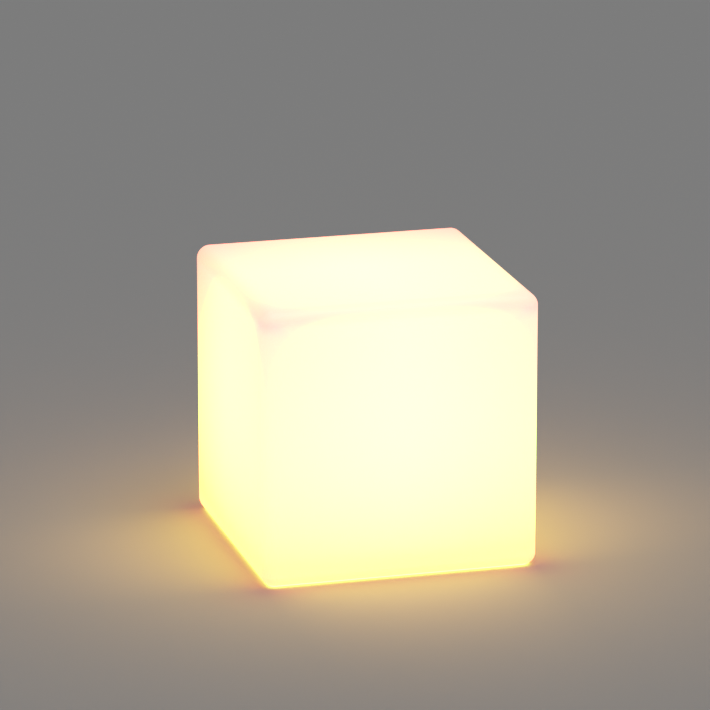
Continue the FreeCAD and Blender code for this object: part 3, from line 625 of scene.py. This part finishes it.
def cell_sleeve():
    """Shrink sleeve on the cells. Their nickel-plated ends are bare, and one has a white insulating ring."""
    finish = Finish("cell_sleeve")
    x, y, z = finish.axes()
    radial = ((abs(y) - CELL_Y) ** 2.0 + (z - CELL_Z) ** 2.0) ** 0.5
    bare = abs(x).above(CELL_END) * (7.9 * MM - radial).above(0.0)
    ring = x.above(CELL_END) * radial.above(3.3 * MM) * (6.6 * MM - radial).above(0.0)
    wrinkles = finish.noise(1.1 * MM, detail=3.0, stretch=(7.0, 1.0, 1.0))
    seam = (0.35 * MM - abs(z - CELL_Z - 1.0 * MM)).above(0.0) * (abs(y) - CELL_Y).above(0.0)
    sleeve = finish.mix(wrinkles.smooth(0.3, 0.7), (0.020, 0.085, 0.24), (0.028, 0.115, 0.31))
    sleeve = finish.mix(seam, sleeve, (0.014, 0.06, 0.18))
    can = finish.mix(finish.noise(2 * MM), (0.62, 0.61, 0.58), (0.74, 0.73, 0.70))
    finish.feed("Base_Color", finish.mix(ring, finish.mix(bare, sleeve, can), (0.86, 0.86, 0.84)))
    finish.feed("Metallic", bare * (1.0 - ring))
    finish.feed("Roughness", 0.22 + wrinkles * 0.14 + ring * 0.3)
    finish.bump(wrinkles * 0.7 + seam * 0.3, 0.05 * MM, 0.5)
    return finish.material


def wire_insulation():
    """Red and black insulation: the socket's pair lies side by side along X, the diodes' pair along Y."""
    finish = Finish("wire_insulation")
    x, y, z = finish.axes()
    upper = z.above(BOARD_TOP)
    red = upper * y.above(0.0) + (1.0 - upper) * x.above(20 * MM)
    grain = finish.noise(0.3 * MM, detail=2.0)
    finish.feed("Base_Color", finish.mix(red, (0.018, 0.018, 0.020), (0.50, 0.018, 0.015)))
    finish.feed("Roughness", 0.34 + grain * 0.12)
    finish.bump(grain, 0.02 * MM, 0.4)
    return finish.material


def nickel_strip():
    """Rolled nickel strip with two weld spots on each cell."""
    finish = Finish("nickel_strip", Metallic=1.0)
    _, y, z = finish.axes()
    spots = (abs(abs(y) - CELL_Y) - 1.3 * MM) ** 2.0 + (z - CELL_Z) ** 2.0
    weld = (1.0 - spots / (0.8 * MM) ** 2).larger(0.0)
    lines = finish.noise(0.3 * MM, stretch=(1.0, 20.0, 1.0))
    heat = (1.0 - spots / (1.5 * MM) ** 2).larger(0.0)
    colour = finish.mix(lines, (0.66, 0.64, 0.58), (0.76, 0.74, 0.68))
    finish.feed("Base_Color", finish.mix(heat * 0.8, colour, (0.30, 0.24, 0.20)))
    finish.feed("Roughness", 0.28 + lines * 0.14 + weld * 0.25)
    finish.bump(lines * 0.1 - weld, 0.12 * MM, 0.8)
    return finish.material


def cell_foam():
    """Open-cell foam."""
    finish = Finish("cell_foam")
    size = 0.9 * MM
    pores_and_painted_shade = finish.node("ShaderNodeTexVoronoi", {"feature": "F1"}, Vector=finish.place, Scale=1.0 / size)
    # The middles of the pores are painted darker than the cell walls round them: painted shade in the
    # hollows.
    colour = finish.mix(pores_and_painted_shade.smooth(0.1, 0.6), (0.012, 0.012, 0.013), (0.075, 0.075, 0.080))
    finish.feed("Base_Color", colour)
    finish.feed("Roughness", 0.88 + pores_and_painted_shade * 0.1)
    finish.bump(pores_and_painted_shade, 0.25 * MM, 0.8)
    return finish.material


def clear_acrylic():
    """Clear acrylic with a very light haze, a faint flow pattern and a few rubbed marks."""
    finish = Finish("clear_acrylic", Base_Color=(0.97, 0.98, 0.99, 1.0), Transmission_Weight=1.0, IOR=1.49)
    haze = finish.noise(9 * MM, detail=3.0)
    rubbed = finish.noise(1.5 * MM, detail=6.0, roughness=0.7, stretch=(1.0, 8.0, 1.0)).smooth(0.60, 0.75)
    finish.feed("Roughness", 0.07 + haze * 0.07 + rubbed * 0.10)
    finish.bump(haze, 0.05 * MM, 0.3)
    return finish.material


def capacitor_can():
    """A sleeved aluminium can: its bare top is scored with a cross, and the sleeve has one paler stripe."""
    finish = Finish("capacitor_can")
    x, y, z = finish.axes()
    x, y = x - CAPACITOR_PLACE[0], y - CAPACITOR_PLACE[1]
    away = (x * x + y * y) ** 0.5
    bare = z.above(BOARD_TOP + 7.9 * MM) * (2.5 * MM - away).above(0.0)
    score = (0.13 * MM - abs(x).smaller(abs(y))).above(0.0) * bare
    stripe = (0.8 * MM - abs(y)).above(0.0) * (-x).above(0.0) * (1.0 - bare)
    turned = finish.noise(0.2 * MM)
    sleeve = finish.mix(stripe, (0.022, 0.022, 0.026), (0.55, 0.55, 0.56))
    finish.feed("Base_Color", finish.mix(bare, sleeve, (0.75, 0.75, 0.76)))
    finish.feed("Metallic", bare)
    finish.feed("Roughness", 0.28 + turned * 0.12)
    finish.bump(turned * 0.05 - score, 0.12 * MM, 0.8)
    return finish.material


finishes = {
    "steel": plated("zinc_plated_steel", (0.66, 0.66, 0.68), 0.30, (0.52, 0.51, 0.50)),
    "brass": plated("turned_brass", (0.80, 0.58, 0.26), 0.26, (0.62, 0.42, 0.17)),
    "aluminium": plated("brushed_aluminium", (0.82, 0.82, 0.83), 0.34, (0.72, 0.72, 0.73), (40.0, 1.0, 1.0)),
    "nickel": nickel_strip(),
    "copper": plated("enamelled_copper", (0.74, 0.30, 0.13), 0.24, (0.52, 0.18, 0.08)),
    "housing": moulded("housing_plastic", (0.80, 0.80, 0.77), cloud=0.02),
    "button": moulded("button_plastic", (0.22, 0.23, 0.25), 0.38, 0.5 * MM),
    "black_plastic": moulded("black_plastic", (0.020, 0.020, 0.022), 0.36, 0.4 * MM),
    "soft": moulded("silicone_rubber", (0.045, 0.046, 0.050), 0.62, 0.3 * MM, 0.10),
    "pad": moulded("thermal_pad", (0.42, 0.48, 0.55), 0.72, 0.2 * MM, 0.06),
    "foam": cell_foam(),
    "board": green_board(),
    "white_board": white_board(),
    "diodes": lit_gel(),
    "cell_wrap": cell_sleeve(),
    "wire": wire_insulation(),
    "clear": clear_acrylic(),
    "polyethylene": glowing_polyethylene(),
}
slots = {part["node"]: part["material_slot"] for part in frame["record"]["subparts"]}
for name, obj in frame["nodes"].items():
    obj.data.materials.clear()
    obj.data.materials.append(capacitor_can() if name == "board_capacitor" else finishes[slots[name]])


# -------- the cube
def rotomoulded_cube():
    """The hollow shell: a rounded cube with a set-in underside, a tapered recess and the inserts' bosses."""
    shape = Shape(
        "rotomoulded_cube", side=SIDE, wall=WALL, edge_radius=EDGE_RADIUS,
        inner_edge_radius=INNER_EDGE_RADIUS, land_width=LAND_WIDTH, panel_depth=PANEL_DEPTH,
        panel_corner_radius=PANEL_CORNER_RADIUS, recess_radius=RECESS_RADIUS, recess_depth=RECESS_DEPTH,
        recess_rounding=RECESS_ROUNDING, mouth_rounding=MOUTH_ROUNDING, opening_radius=OPENING_RADIUS,
        boss_radius=BOSS_RADIUS, boss_top=BOSS_TOP, boss_rounding=BOSS_ROUNDING, insert_count=INSERT_COUNT,
        insert_pitch=INSERT_PITCH, insert_radius=INSERT_RADIUS, insert_length=INSERT_LENGTH,
        insert_head_radius=INSERT_HEAD_RADIUS, insert_head=INSERT_HEAD,
    )
    s = shape.sizes
    lean = math.tan(math.radians(RECESS_DRAFT))
    outside = shape.moved(shape.rounded_cube(s.side, s.edge_radius, 8, 10), z=s.side / 2)
    hollow = shape.moved(shape.rounded_cube(s.side - s.wall * 2, s.inner_edge_radius, 4, 6), z=s.side / 2)

    width = s.side - (s.edge_radius + s.land_width) * 2
    plate = shape.chamfered_plate(width, s.panel_depth * 2, s.panel_corner_radius, -1.0 * s.panel_depth)
    mouth = (s.recess_depth - s.panel_depth) * lean + s.recess_radius
    skirt = s.mouth_rounding * 2 + mouth
    recess = shape.revolved(
        (0.0, s.recess_depth), (s.recess_radius, s.recess_depth, s.recess_rounding),
        (mouth, s.panel_depth, s.mouth_rounding), (skirt, s.panel_depth), (skirt, -1.0 * s.panel_depth),
        (0.0, -1.0 * s.panel_depth),
    )
    grown = s.wall / math.cos(math.radians(RECESS_DRAFT)) - s.wall * lean
    recess_wall = shape.tapered(
        s.recess_radius + grown, 0.0, s.recess_depth + s.wall, RECESS_DRAFT, s.recess_rounding + s.wall
    )
    places = shape.ring_places(s.insert_count, s.insert_pitch, math.radians(INSERT_TURN))
    boss = shape.tapered(
        s.boss_radius, s.recess_depth, s.boss_top, BOSS_DRAFT, s.boss_rounding, steps=48, arc_steps=5
    )
    hollow = shape.cut(hollow, shape.moved(plate, z=s.wall), recess_wall, shape.at_places(boss, places))

    opening = shape.revolved(
        (0.0, s.boss_top), (s.opening_radius, s.boss_top), (s.opening_radius, s.panel_depth),
        (0.0, s.panel_depth),
    )
    pocket_top = s.recess_depth + s.insert_length
    head_top = s.recess_depth + s.insert_head
    below = s.recess_depth - s.insert_head
    pocket = shape.revolved(
        (0.0, pocket_top), (s.insert_radius, pocket_top), (s.insert_radius, head_top),
        (s.insert_head_radius, head_top), (s.insert_head_radius, below), (0.0, below), steps=32,
    )
    shell = shape.cut(shape.cut(outside, plate), recess)
    shell = shape.cut(shell, hollow)
    shell = shape.cut(shell, opening, shape.at_places(pocket, places))
    shape.piece(shape.smooth(shell, 32), finishes["polyethylene"], "lamp", "polyethylene", "cube_shell")


rotomoulded_cube()


# -------- screws and inserts
def pan_screws(name, node, screw, places, seat, upwards=False):
    """A set of pan-head screws with cross recesses and real threads, at the points of a ring or a grid."""
    make_places, place_sizes = places
    shank, length, head, height, pitch = screw
    shape = Shape(
        name, shank_radius=shank, length=length, head_radius=head, head_height=height, thread_pitch=pitch,
        thread_depth=shank * 0.18, seat_height=seat, **place_sizes,
    )
    s = shape.sizes
    pan = shape.revolved(
        (0.0, s.head_height), (s.head_radius * 0.55, s.head_height * 0.97, s.head_radius * 0.3),
        (s.head_radius, s.head_height * 0.55, s.head_radius * 0.25), (s.head_radius, 0.0), (0.0, 0.0),
        steps=40, arc_steps=4,
    )
    wing = shape.node(
        "GeometryNodeMeshCone", {"fill_type": "NGON"}, 4, 1, 1, s.head_radius * 0.82, s.head_radius * 0.35,
        s.head_height * 1.2,
    )
    wing = shape.moved(shape.turned(wing, z=math.pi / 4), z=s.head_height * 0.45)
    narrow = 0.26
    pan = shape.cut(pan, shape.stretched(wing, 1.0, narrow, 1.0), shape.stretched(wing, narrow, 1.0, 1.0))
    root = s.shank_radius - s.thread_depth
    tip = s.length * -1.0
    core = shape.revolved(
        (0.0, s.head_height * 0.2), (root, s.head_height * 0.2), (root, s.shank_radius - s.length),
        (root * 0.5, tip), (0.0, tip), steps=24,
    )
    threaded = s.length - s.shank_radius * 2
    turns = threaded / s.thread_pitch
    helix = shape.node("GeometryNodeCurveSpiral", {}, 20, turns, root, root, threaded, False)
    thread = shape.swept(helix, shape.circle(3, s.thread_depth), capped=True)
    thread = shape.moved(thread, z=s.shank_radius - s.length)
    one = shape.smooth(shape.together(pan, core, thread), 38)
    if upwards:
        one = shape.turned(one, x=math.pi)
    placed = shape.at_places(one, make_places(shape))
    shape.piece(shape.moved(placed, z=s.seat_height), finishes["steel"], "lamp", "steel", node)


def in_a_ring(count, pitch, first_turn):
    """A function that makes points on a circle, and the sizes that it takes."""
    def places(shape):
        s = shape.sizes
        return shape.ring_places(s.count, s.pitch_radius, s.first_turn)
    return places, {"count": count, "pitch_radius": pitch, "first_turn": math.radians(first_turn)}


def in_four_corners(x, y):
    """A function that makes a rectangle's corners about the origin, and the sizes that it takes."""
    def places(shape):
        s = shape.sizes
        return shape.node("GeometryNodeMeshGrid", {}, s.spacing_x, s.spacing_y, 2, 2)
    return places, {"spacing_x": 2 * x, "spacing_y": 2 * y}


def knurled_inserts():
    """Brass inserts for moulding in: two knurled bands with a groove between them, and a flat head."""
    shape = Shape(
        "knurled_inserts", radius=INSERT_RADIUS, length=INSERT_LENGTH, head_radius=INSERT_HEAD_RADIUS,
        head_thickness=INSERT_HEAD, hole_radius=COVER_SCREW[0] + 0.05 * MM, groove_depth=0.35 * MM,
        knurl_depth=0.25 * MM, teeth=24, count=INSERT_COUNT, pitch_radius=INSERT_PITCH,
        seat_height=RECESS_DEPTH,
    )
    s = shape.sizes
    groove = s.radius - s.groove_depth
    blank = shape.revolved(
        (0.0, s.length), (s.radius * 0.88, s.length), (s.radius, s.length * 0.95),
        (s.radius, s.length * 0.60), (groove, s.length * 0.57), (groove, s.length * 0.47),
        (s.radius, s.length * 0.44), (s.radius, s.head_thickness), (s.head_radius, s.head_thickness),
        (s.head_radius, 0.0), (0.0, 0.0), steps=48,
    )
    x, y, z = shape.position()
    away = (x * x + y * y) ** 0.5
    wave = (y.turn_from(x) * s.teeth).cosine()
    tooth = away.above(s.radius * 0.95) * (s.length * 0.97).above(z) * z.above(s.head_thickness * 1.01)
    share = 1.0 - tooth * (wave + 1.0) * s.knurl_depth / (s.radius * 2)
    blank = shape.node("GeometryNodeSetPosition", {}, blank, None, shape.vector(x * share, y * share, z))
    hole_top = s.length - s.head_thickness
    below = s.length * -0.2
    hole = shape.revolved(
        (0.0, hole_top), (s.hole_radius, hole_top), (s.hole_radius, below), (0.0, below), steps=32
    )
    insert = shape.smooth(shape.cut(blank, hole), 25)
    placed = shape.at_places(insert, shape.ring_places(s.count, s.pitch_radius, math.radians(INSERT_TURN)))
    shape.piece(shape.moved(placed, z=s.seat_height), finishes["brass"], "lamp", "brass", "threaded_inserts")


pan_screws(
    "threaded_cover_screws", "cover_screws", COVER_SCREW, in_a_ring(INSERT_COUNT, INSERT_PITCH, INSERT_TURN),
    COVER_BOTTOM, upwards=True,
)
pan_screws(
    "threaded_dome_screws", "dome_screws", DOME_SCREW, in_a_ring(6, DOME_SCREW_PITCH, 0.0), DOME_FLANGE_TOP
)
pan_screws(
    "threaded_board_screws", "board_screws", BOARD_SCREW, in_four_corners(BOARD_SCREW_X, BOARD_SCREW_Y),
    BOARD_TOP,
)
pan_screws("threaded_led_screws", "led_screws", LED_SCREW, in_a_ring(3, LED_SCREW_PITCH, 60.0), LED_BOARD_TOP)
knurled_inserts()


# -------- the boards' components
def diode_shape(name, **sizes):
    """A tree with the sizes of a diode's well and of the two rings of diodes."""
    (outer_count, outer_pitch), (inner_count, inner_pitch) = LED_RINGS
    return Shape(
        name, height=LED_HEIGHT, well_radius=LED_WELL_RADIUS, well_depth=0.4 * MM, outer_count=outer_count,
        outer_pitch=outer_pitch, inner_count=inner_count, inner_pitch=inner_pitch,
        seat_height=LED_BOARD_TOP, **sizes,
    )


def in_both_rings(shape, one):
    """Copies on the two rings, each turned to face away from the middle."""
    s = shape.sizes
    x, y, _ = shape.position()
    turn = shape.vector(0.0, 0.0, y.turn_from(x))
    rings = [
        shape.at_places(one, shape.ring_places(count, pitch, math.pi / number), turn)
        for count, pitch, (number, _) in zip(
            (s.outer_count, s.inner_count), (s.outer_pitch, s.inner_pitch), LED_RINGS
        )
    ]
    return shape.moved(shape.together(*rings), z=s.seat_height)


def diode_packages():
    """White packages with a round well, on their tabs."""
    shape = diode_shape(
        "diode_packages", size=LED_SIZE, corner_radius=0.3 * MM, tab_width=3.2 * MM, tab_thickness=0.2 * MM
    )
    s = shape.sizes
    body = shape.stretched(shape.rounded_cube(s.size, s.corner_radius, 2, 1), 0.96, 0.96, s.height / s.size)
    body = shape.moved(body, z=s.height / 2)
    floor = s.height - s.well_depth
    well = shape.revolved(
        (0.0, s.height * 1.1), (s.well_radius, s.height * 1.1), (s.well_radius, s.height),
        (s.well_radius * 0.9, floor), (0.0, floor), steps=24,
    )
    tab = shape.node("GeometryNodeMeshCube", {}, shape.vector(s.size, s.tab_width, s.tab_thickness))
    one = shape.together(shape.cut(body, well), shape.moved(tab, z=s.tab_thickness / 2))
    placed = in_both_rings(shape, shape.smooth(one, 35))
    shape.piece(placed, finishes["white_board"], "lamp", "diodes", "led_chips")


def diode_gel():
    """The phosphor gel that fills the packages' wells."""
    shape = diode_shape("diode_gel")
    s = shape.sizes
    level = s.height - s.well_depth * 0.25
    floor = s.height - s.well_depth
    gel = shape.revolved(
        (0.0, level), (s.well_radius * 0.6, level), (s.well_radius * 0.94, s.height - s.well_depth * 0.45),
        (s.well_radius * 0.9, floor), (0.0, floor), steps=24,
    )
    shape.piece(in_both_rings(shape, shape.smooth(gel, 40)), finishes["diodes"], "lamp", "diodes")


def chip_shape(name, **sizes):
    """A tree with the sizes that the packages and their legs share."""
    return Shape(name, body_width=2.9 * MM, height=1.5 * MM, seat_height=BOARD_TOP, **sizes)


def on_control_board(shape, one):
    """Copies at the chips' places."""
    placed = [shape.moved(one, x, y, shape.sizes.seat_height) for x, y in CHIP_PLACES]
    return shape.smooth(shape.together(*placed), 35)


def chip_bodies():
    """Moulded packages, with a dimple that marks the first leg."""
    shape = chip_shape("chip_bodies", length=5 * MM, stand_off=0.12 * MM, edge_radius=0.18 * MM)
    s = shape.sizes
    body = shape.rounded_cube(s.length, s.edge_radius, 2, 2)
    body = shape.stretched(body, 1.0, s.body_width / s.length, (s.height - s.stand_off) / s.length)
    body = shape.moved(body, z=(s.height + s.stand_off) / 2)
    above, floor = s.height * 1.2, s.height * 0.93
    dimple = shape.revolved(
        (0.0, above), (s.height * 0.22, above), (s.height * 0.2, floor), (0.0, floor), steps=16
    )
    one = shape.cut(body, shape.moved(dimple, s.length * -0.38, s.body_width * -0.28))
    placed = on_control_board(shape, one)
    shape.piece(placed, finishes["black_plastic"], "lamp", "black_plastic", "board_chips")


def chip_legs():
    """Four bent legs on either side of each package."""
    shape = chip_shape(
        "chip_legs", leg_span=4 * MM, leg_width=0.4 * MM, leg_thickness=0.18 * MM, leg_pitch=1.2 * MM,
        legs_a_side=4,
    )
    s = shape.sizes
    out = s.leg_span / 2
    upper, lower = s.height * 0.5, s.leg_thickness / 2
    route = shape.curve_through(
        (0.0, s.body_width / 2 - 0.1 * MM, upper), (0.0, out - 0.45 * MM, upper),
        (0.0, out - 0.35 * MM, lower), (0.0, out, lower),
    )
    section = shape.node(
        "GeometryNodeCurvePrimitiveQuadrilateral", {"mode": "RECTANGLE"}, s.leg_width, s.leg_thickness
    )
    leg = shape.swept(shape.filleted(route, 3, 0.12 * MM), section, capped=True)
    first = shape.vector(s.leg_pitch * -0.5 * (s.legs_a_side - 1), 0.0, 0.0)
    step = shape.vector(s.leg_pitch, 0.0, 0.0)
    row = shape.node("GeometryNodeMeshLine", {"mode": "OFFSET"}, s.legs_a_side, first, step)
    side = shape.at_places(leg, row)
    one = shape.together(side, shape.turned(side, z=math.pi))
    shape.piece(on_control_board(shape, one), finishes["steel"], "lamp", "steel")


def inductor_shape(name, **sizes):
    """A tree with the sizes that the winding and its bobbin share."""
    return Shape(
        name, radius=4.5 * MM, height=4.2 * MM, cheek=0.6 * MM, place_x=INDUCTOR_PLACE[0],
        seat_height=BOARD_TOP, **sizes,
    )


def inductor_winding():
    """Enamelled wire, wound in two layers."""
    shape = inductor_shape("inductor_winding", wire_radius=0.19 * MM)
    s = shape.sizes
    wound = s.height - s.cheek * 2 - s.wire_radius * 2
    turns = wound / (s.wire_radius * 2.02)
    coils = []
    for layer in (0, 1):
        around = s.radius - s.wire_radius * (1.6 + 1.8 * layer)
        helix = shape.node("GeometryNodeCurveSpiral", {}, 40, turns, around, around, wound, False)
        coil = shape.swept(helix, shape.circle(8, s.wire_radius), capped=True)
        coils.append(shape.moved(coil, z=s.cheek + s.wire_radius))
    placed = shape.moved(shape.smooth(shape.together(*coils), 60), s.place_x, 0.0, s.seat_height)
    shape.piece(placed, finishes["copper"], "lamp", "copper", "board_inductor")


def inductor_bobbin():
    """The ferrite bobbin that the wire is wound on."""
    shape = inductor_shape("inductor_bobbin", bore_radius=2.2 * MM)
    s = shape.sizes
    groove = s.radius * 0.78
    bobbin = shape.revolved(
        (0.0, s.height), (s.radius, s.height), (s.radius, s.height - s.cheek), (groove, s.height - s.cheek),
        (groove, s.cheek), (s.radius, s.cheek), (s.radius, 0.0), (0.0, 0.0), steps=48,
    )
    above, floor = s.height * 1.2, s.height * 0.12
    bore = shape.revolved(
        (0.0, above), (s.bore_radius, above), (s.bore_radius, floor), (0.0, floor), steps=32
    )
    placed = shape.moved(shape.smooth(shape.cut(bobbin, bore), 35), s.place_x, 0.0, s.seat_height)
    shape.piece(placed, finishes["black_plastic"], "lamp", "black_plastic")


diode_packages()
diode_gel()
chip_bodies()
chip_legs()
inductor_winding()
inductor_bobbin()


# -------- the other parts, shaded smooth
def softened(name, body, sharp_from=32):
    """A copy of a CAD part with its points merged, so that its curved faces shade smoothly."""
    mesh = frame["nodes"][name].data.copy()
    work = bmesh.new()
    work.from_mesh(mesh)
    bmesh.ops.remove_doubles(work, verts=work.verts, dist=0.001 * MM)
    for face in work.faces:
        face.smooth = True
    for edge in work.edges:
        edge.smooth = edge.is_manifold and edge.calc_face_angle(0.0) < math.radians(sharp_from)
    work.to_mesh(mesh)
    work.free()
    made = bpy.data.objects.new(name + "_smooth", mesh)
    bpy.context.collection.objects.link(made)
    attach(made, body)
    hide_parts(name)


for name in (
    "base_cover", "charging_socket", "cap_anchor", "cap_pin", "charge_indicator", "board_capacitor",
    "battery_cells", "socket_leads", "led_leads", "grommet", "heat_spreader", "led_board", "dome",
    "switch_body",
):
    softened(name, "lamp")
softened("power_button", "power_button")
softened("button_seal", "power_button")
softened("port_cap", "port_cap")


# -------- studio
def studio_floor():
    """A plain floor that shows from above only, and passes into the background far from the lamp."""
    grey = (FLOOR_ALBEDO, FLOOR_ALBEDO, FLOOR_ALBEDO, 1.0)
    finish = Finish("studio_floor", Base_Color=grey, Roughness=0.95, Specular_IOR_Level=0.0)
    x, y, _ = finish.axes()
    away = (x * x + y * y) ** 0.5
    fade = away.smooth(FLOOR_FADE_START, FLOOR_FADE_END)
    below = finish.node("ShaderNodeNewGeometry", {}, output="Backfacing")
    clear = finish.node("ShaderNodeBsdfTransparent", {})
    matt = Value(finish, finish.shader.outputs[0])
    mixed = finish.node("ShaderNodeMixShader", {}, fade.larger(below), matt, clear)
    finish.tree.links.new(mixed.socket, finish.output.inputs["Surface"])
    bpy.ops.mesh.primitive_plane_add(size=FLOOR_SIZE)
    floor = bpy.context.object
    floor.name = "floor"
    floor.data.materials.append(finish.material)


def studio_light():
    """An even grey background and one very large soft light from above."""
    world = bpy.data.worlds.new("studio")
    world.use_nodes = True
    background = world.node_tree.nodes["Background"]
    background.inputs["Color"].default_value = (STUDIO_GREY, STUDIO_GREY, STUDIO_GREY, 1.0)
    background.inputs["Strength"].default_value = 1.0
    bpy.context.scene.world = world
    sun = bpy.data.lights.new("softbox", "SUN")
    sun.energy = SUN_STRENGTH
    sun.angle = math.radians(SUN_SOFTNESS)
    holder = bpy.data.objects.new("softbox", sun)
    holder.rotation_euler = (math.radians(SUN_TILT), 0.0, math.radians(SUN_TURN))
    bpy.context.collection.objects.link(holder)


def photograph_camera():
    azimuth, elevation = math.radians(CAMERA_AZIMUTH), math.radians(CAMERA_ELEVATION)
    right = Vector((math.cos(azimuth), math.sin(azimuth), 0.0))
    level = Vector((math.sin(azimuth), -math.cos(azimuth), 0.0))
    back = level * math.cos(elevation) + Vector((0.0, 0.0, math.sin(elevation)))
    up = back.cross(right)
    data = bpy.data.cameras.new("camera")
    data.sensor_width = SENSOR
    data.lens = FOCAL_PIXELS / FRAME_PIXELS * SENSOR
    data.clip_end = 100.0
    camera = bpy.data.objects.new("camera", data)
    camera.rotation_euler = (math.pi / 2 - elevation, 0.0, azimuth)
    camera.location = MIDDLE + back * CAMERA_DISTANCE + right * CAMERA_ASIDE + up * CAMERA_ABOVE
    bpy.context.collection.objects.link(camera)
    bpy.context.scene.camera = camera


studio_floor()
studio_light()
photograph_camera()
bpy.context.scene.view_settings.view_transform = "Standard"
bpy.context.scene.view_settings.look = "None"
